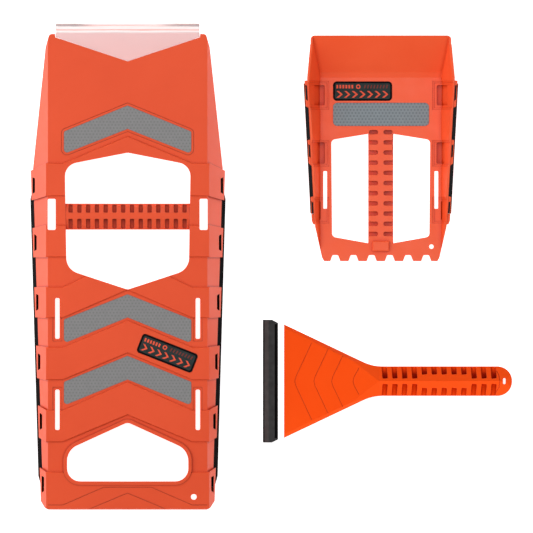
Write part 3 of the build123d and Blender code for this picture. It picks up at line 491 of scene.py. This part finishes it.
def badge_piece(name, node, turn, outlines, rise, material, body):
    """A piece of the print on a badge."""
    low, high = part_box(node)
    bm = bmesh.new()
    for points in outlines:
        add_plate(bm, points, -PRINT_SINK, rise)
    bmesh.ops.remove_doubles(bm, verts=bm.verts, dist=WELD_DISTANCE)
    bmesh.ops.recalc_face_normals(bm, faces=bm.faces)
    bmesh.ops.triangulate(bm, faces=[face for face in bm.faces if len(face.verts) > 4])
    badge_top = Matrix.Translation(((low.x + high.x) / 2, (low.y + high.y) / 2, high.z))
    bm.transform(badge_top @ Matrix.Rotation(math.radians(turn), 4, "Z"))
    mesh = bpy.data.meshes.new(name)
    bm.to_mesh(mesh)
    bm.free()
    mesh.materials.append(material)
    piece = bpy.data.objects.new(name, mesh)
    bpy.context.scene.collection.objects.link(piece)
    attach(piece, body)


def badge_print(prefix, node, turn, size, body):
    """A generic print: a row of arrowheads below a row of bars, a ring and fainter bars."""
    width, height = (side - 2 * FIELD_MARGIN for side in size)
    field = rounded_field(width, height, FIELD_CORNER)
    arrows = [
        chevron(ROW_START + ARROW_PITCH * k, ARROW_ROW, width=8.2, height=8.8, stroke=3.1)
        for k in range(ARROWS)]
    left_bars = [bar(ROW_START + BAR_PITCH * k, BAR_ROW, width=2.3, height=BAR_HEIGHT) for k in range(BARS)]
    mark = ring(RING_AT, BAR_ROW, outer=3.0, inner=1.5)
    right_bars = [
        bar(FADED_START + FADED_PITCH * k, BAR_ROW, width=1.8, height=BAR_HEIGHT, lean=1.1)
        for k in range(FADED_BARS)]
    for part, outlines, rise, material in (
        ("field", [field], FIELD_RISE, FIELD),
        ("arrows", arrows, MARK_RISE, PRINT_BRIGHT),
        ("bars", left_bars + mark, MARK_RISE, PRINT_BRIGHT),
        ("faded_bars", right_bars, MARK_RISE, PRINT_DIM),
    ):
        badge_piece(f"{prefix}_{part}", node, turn, outlines, rise, material, body)


badge_print("compact_print", "compact_badge", 0.0, COMPACT_BADGE_SIZE, "compact_shovel")
badge_print("shovel_print", "shovel_badge", SHOVEL_BADGE_TURN, SHOVEL_BADGE_SIZE, "full_length_shovel")


# ---- floor, light, camera --------------------------------------------------------------------------
FLOOR_HALF = 4.0
FLOOR_GAP = 0.6 * MM
FLOOR_GREY = 0.9
FLOOR_GLOW = 0.88            # lifts the floor to the plain white of a catalogue page
HORIZON_LIGHT = 0.8
ZENITH_LIGHT = 0.12
SENSOR_WIDTH = 36.0
LENS = 800.0
VIEW_WIDTH = 0.6929          # width of the view where the set lies
VIEW_HEIGHT = 45.0 * MM      # height above the origin at which the view has this width
VIEW_SHIFT = -6.05 * MM      # the set isn't quite in the middle of the picture
SCRAPER_NODES = ("scraper_body", "squeegee_holder", "squeegee_lip")


def make_floor():
    """A plain white floor just under the set."""
    m = Nodes("floor_white")
    m.shader.inputs["Base Color"].default_value = (FLOOR_GREY, FLOOR_GREY, FLOOR_GREY, 1.0)
    m.shader.inputs["Roughness"].default_value = 0.9
    m.shader.inputs["Emission Color"].default_value = (*WHITE, 1.0)
    m.shader.inputs["Emission Strength"].default_value = FLOOR_GLOW
    mesh = bpy.data.meshes.new("floor")
    corners = [(sx * FLOOR_HALF, sy * FLOOR_HALF, 0) for sx, sy in ((-1, -1), (1, -1), (1, 1), (-1, 1))]
    mesh.from_pydata(corners, [], [(0, 1, 2, 3)])
    mesh.materials.append(m.material)
    floor = bpy.data.objects.new("floor", mesh)
    floor.location.z = CAD_BOUNDS[0][2] - FLOOR_GAP
    bpy.context.scene.collection.objects.link(floor)


def area_light(name, place, target, size, power, glossy=True, diffuse=True, only=(), skip=()):
    """A soft light that points at a target.

    only names the nodes it lights, and skip names those it doesn't light.
    """
    data = bpy.data.lights.new(name, "AREA")
    data.shape = "RECTANGLE"
    data.size, data.size_y = size
    data.energy = power
    light = bpy.data.objects.new(name, data)
    light.location = place
    light.visible_camera = False
    light.visible_glossy = glossy
    light.visible_diffuse = diffuse
    light.rotation_euler = (Vector(target) - Vector(place)).to_track_quat("-Z", "Y").to_euler()
    if only or skip:
        receivers = bpy.data.collections.new(f"{name}_receivers")
        for node in only + skip:
            receivers.objects.link(NODES[node])
        for entry in receivers.collection_objects:
            entry.light_linking.link_state = "INCLUDE" if only else "EXCLUDE"
        light.light_linking.receiver_collection = receivers
    bpy.context.scene.collection.objects.link(light)


def make_lights():
    """A key and a fill from the sides, and lights from above that treat the three tools differently."""
    origin = (0.0, 0.0, 0.0)
    area_light("key_left", place=(-1.6, 0.2, 1.1), target=origin, size=(1.6, 2.0), power=16.0)
    area_light("fill_right", place=(1.7, -0.1, 1.2), target=origin, size=(1.4, 2.0), power=2.5)
    area_light("top", place=(0.0, 0.55, 2.6), target=origin, size=(2.0, 2.0), power=28.5,
               glossy=False, skip=SCRAPER_NODES)
    area_light("scraper_front", place=(0.15, -1.3, 1.3), target=(0.15, -0.15, 0.0), size=(0.8, 0.8),
               power=18.0, glossy=False, only=SCRAPER_NODES)
    area_light("compact_overhead", place=(0.14, 0.3, 2.5), target=(0.14, 0.1, 0.0), size=(0.9, 0.9),
               power=24.0, diffuse=False, only=("compact_body",))


def make_world():
    """A soft white surround, brighter round the sides than overhead."""
    world = bpy.data.worlds.new("studio")
    world.use_nodes = True
    tree = world.node_tree
    direction = tree.nodes.new("ShaderNodeTexCoord").outputs["Generated"]
    split = tree.nodes.new("ShaderNodeSeparateXYZ")
    ramp = tree.nodes.new("ShaderNodeValToRGB")
    tree.links.new(direction, split.inputs["Vector"])
    tree.links.new(split.outputs["Z"], ramp.inputs["Fac"])
    for element, grey in zip(ramp.color_ramp.elements, (HORIZON_LIGHT, ZENITH_LIGHT)):
        element.color = (grey, grey, grey, 1.0)
    tree.links.new(ramp.outputs["Color"], tree.nodes["Background"].inputs["Color"])
    bpy.context.scene.world = world


def make_camera():
    """A very long lens straight above the set, as in the catalogue picture."""
    data = bpy.data.cameras.new("camera")
    data.sensor_width = SENSOR_WIDTH
    data.lens = LENS
    data.clip_end = 50.0
    distance = VIEW_WIDTH * LENS / SENSOR_WIDTH
    camera = bpy.data.objects.new("camera", data)
    camera.location = (VIEW_SHIFT, 0.0, distance + VIEW_HEIGHT)
    bpy.context.scene.collection.objects.link(camera)
    bpy.context.scene.camera = camera


bpy.context.scene.view_settings.view_transform = "Standard"
make_floor()
make_world()
make_lights()
make_camera()
